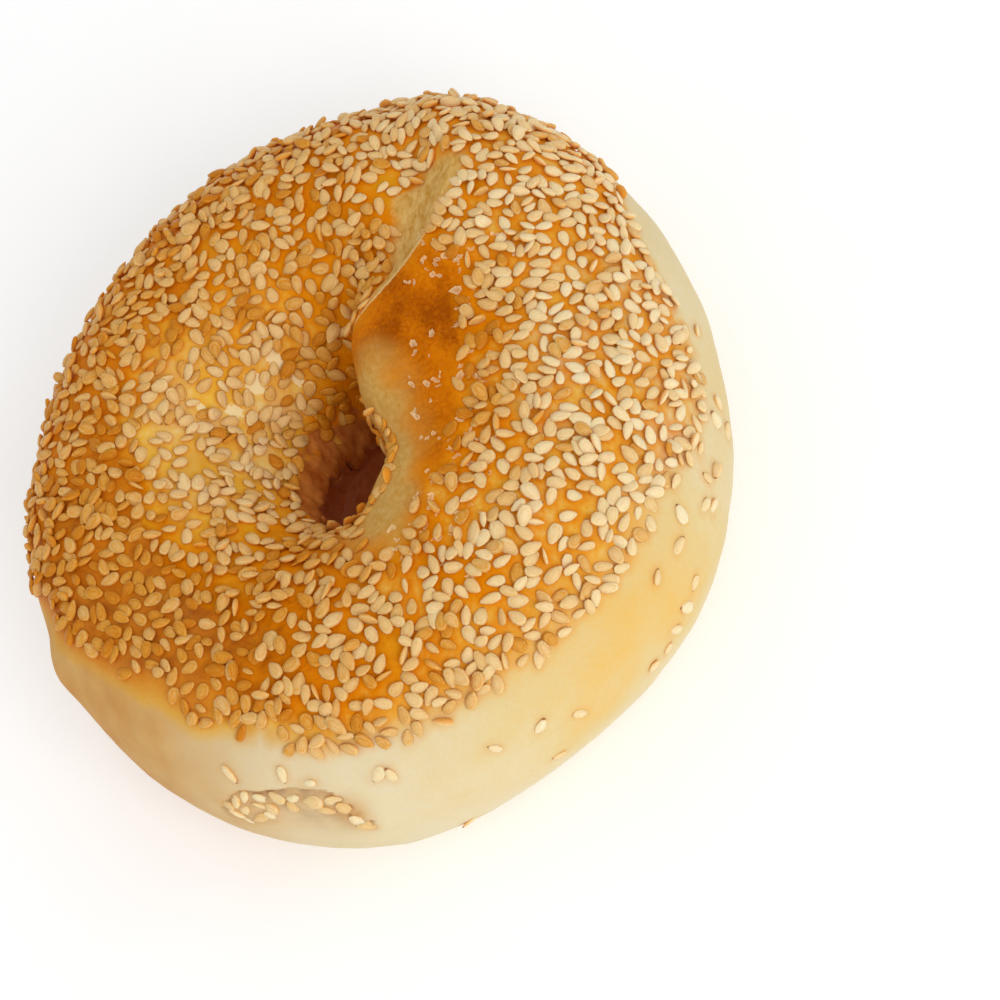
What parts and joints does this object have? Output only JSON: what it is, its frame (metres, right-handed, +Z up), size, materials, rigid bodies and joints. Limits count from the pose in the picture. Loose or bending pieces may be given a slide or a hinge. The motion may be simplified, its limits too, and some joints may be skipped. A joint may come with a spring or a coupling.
{
  "type": "sesame bagel",
  "caption": "Ring-shaped baked sesame bagel, uncut, with a lapped dough join across the crown, a small hole and a flat pale base that it lies on.",
  "frame": {"origin": "on the surface that the bagel lies on, under the middle of its outline", "axes": "+Z up out of the crown; +Y along the longer way across the ring, towards the lapped join; +X across the shorter way, towards the upper end of the join"},
  "size_m": [0.1063, 0.1165, 0.0425],
  "materials": {
    "crust": "satin",
    "sesame": "satin",
    "seed_hulls": "gloss"
  },
  "bodies": {
    "root": {"bagel": "crust"}
  },
  "joints": []
}
